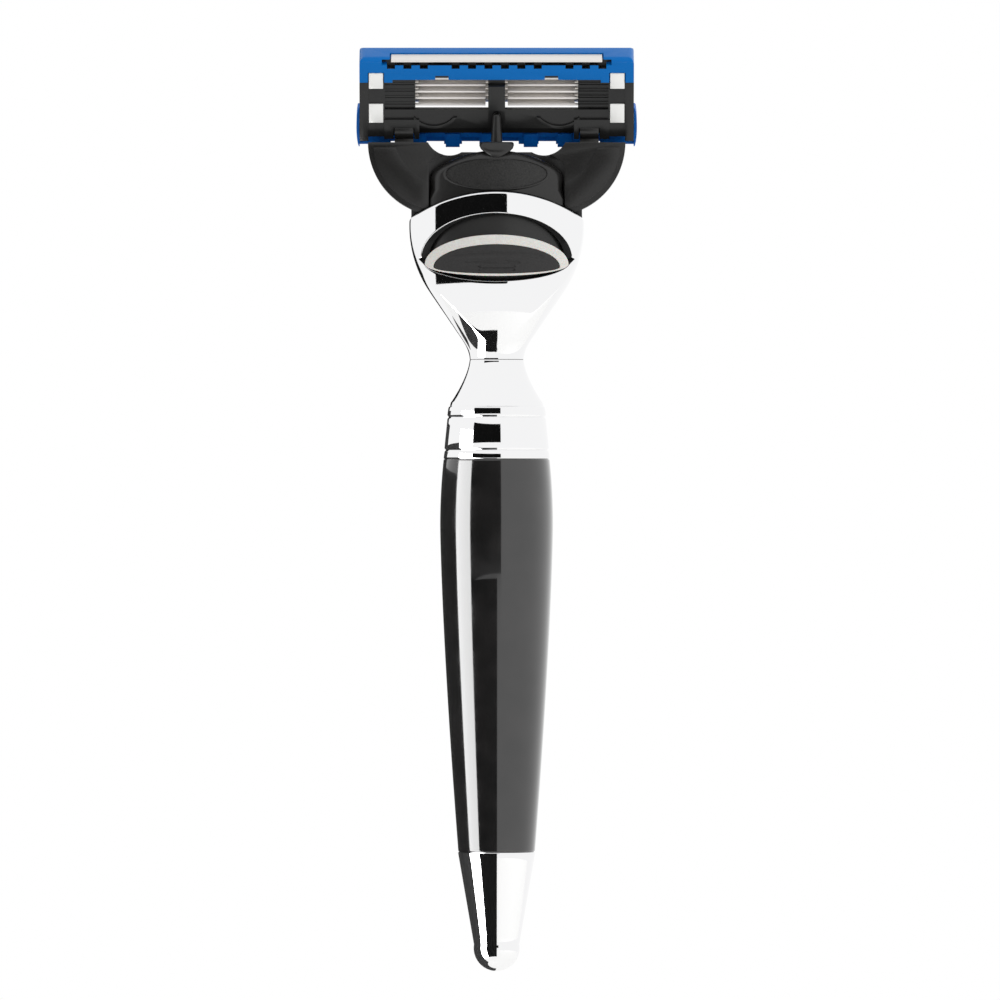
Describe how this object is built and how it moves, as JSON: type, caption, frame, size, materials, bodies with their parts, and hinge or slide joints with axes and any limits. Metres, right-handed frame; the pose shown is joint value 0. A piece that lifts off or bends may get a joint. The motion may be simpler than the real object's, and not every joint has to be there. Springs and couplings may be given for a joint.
{
  "type": "cartridge razor",
  "caption": "Safety razor with a turned handle, a milled bell head with a thumb ejector, and a pivoting multi-blade cartridge on a lift-off yoke.",
  "frame": {"origin": "on the handle's axis at the narrow neck where a stand's fork holds the razor", "axes": "+Z along the handle towards the cartridge, +Y towards the shaving side, +X along the blades"},
  "size_m": [0.042, 0.0171, 0.1385],
  "materials": {
    "resin": "polished black resin",
    "chrome": "mirror",
    "steel": "rolled",
    "blade_steel": "ground",
    "clip_metal": "satin",
    "black_plastic": "satin moulding",
    "housing_plastic": "satin moulding",
    "blue_plastic": "metallic blue moulding",
    "guard_elastomer": "soft blue",
    "pad_rubber": "soft black",
    "light_ring": "soft light grey",
    "strip": "waxy pale strip"
  },
  "bodies": {
    "handle": {"handle_barrel": "resin", "tail_cap": "chrome", "tension_rod": "steel", "ferrule": "chrome", "head_shell": "chrome", "head_insert": "black_plastic", "button_spring": "steel", "plunger_spring": "steel"},
    "button": {"ejector_button": "black_plastic", "button_ring": "light_ring", "thumb_pad": "pad_rubber", "ejector_sled": "black_plastic"},
    "plunger": {"plunger": "black_plastic"},
    "connector": {"yoke": "black_plastic", "connector_cap": "black_plastic"},
    "cartridge": {"cartridge_housing": "housing_plastic", "cap_shell": "blue_plastic", "trimmer_blade": "blade_steel", "guard": "guard_elastomer", "lubricating_strip": "strip", "clip_left": "clip_metal", "clip_right": "clip_metal"},
    "blade_body_1": {"blade_1": "blade_steel", "support_1": "steel"},
    "blade_body_2": {"blade_2": "blade_steel", "support_2": "steel"},
    "blade_body_3": {"blade_3": "blade_steel", "support_3": "steel"},
    "blade_body_4": {"blade_4": "blade_steel", "support_4": "steel"},
    "blade_body_5": {"blade_5": "blade_steel", "support_5": "steel"}
  },
  "joints": [
    {"name": "button_slide", "type": "slide", "parent": "handle", "child": "button", "axis": [0, 0, 1], "range_m": [0, 0.0025], "stiffness_N_per_m": 400, "springref_m": -0.001, "deforming": ["button_spring"]},
    {"name": "cartridge_release", "type": "slide", "parent": "handle", "child": "connector", "axis": [0, 0, 1], "range_m": [0, 0.012]},
    {"name": "cartridge_pivot", "type": "hinge", "parent": "connector", "child": "cartridge", "pos_m": [0, 0.0005, 0.0344], "axis": [1, 0, 0], "range_deg": [0, 40]},
    {"name": "plunger_slide", "type": "slide", "parent": "handle", "child": "plunger", "axis": [0, 0, 1], "range_m": [-0.0032, 0], "stiffness_N_per_m": 100, "springref_m": 0.004, "deforming": ["plunger_spring"]},
    {"name": "blade_1_float", "type": "slide", "parent": "cartridge", "child": "blade_body_1", "axis": [0, 0.9135, 0.4067], "range_m": [-0.0002, 0], "stiffness_N_per_m": 300, "springref_m": 0.0005},
    {"name": "blade_2_float", "type": "slide", "parent": "cartridge", "child": "blade_body_2", "axis": [0, 0.9135, 0.4067], "range_m": [-0.0002, 0], "stiffness_N_per_m": 300, "springref_m": 0.0005},
    {"name": "blade_3_float", "type": "slide", "parent": "cartridge", "child": "blade_body_3", "axis": [0, 0.9135, 0.4067], "range_m": [-0.0002, 0], "stiffness_N_per_m": 300, "springref_m": 0.0005},
    {"name": "blade_4_float", "type": "slide", "parent": "cartridge", "child": "blade_body_4", "axis": [0, 0.9135, 0.4067], "range_m": [-0.0002, 0], "stiffness_N_per_m": 300, "springref_m": 0.0005},
    {"name": "blade_5_float", "type": "slide", "parent": "cartridge", "child": "blade_body_5", "axis": [0, 0.9135, 0.4067], "range_m": [-0.0002, 0], "stiffness_N_per_m": 300, "springref_m": 0.0005}
  ],
  "couplings": [
    {"joint": "cartridge_pivot", "follows": "plunger_slide", "rad_per_m": -218.17}
  ]
}
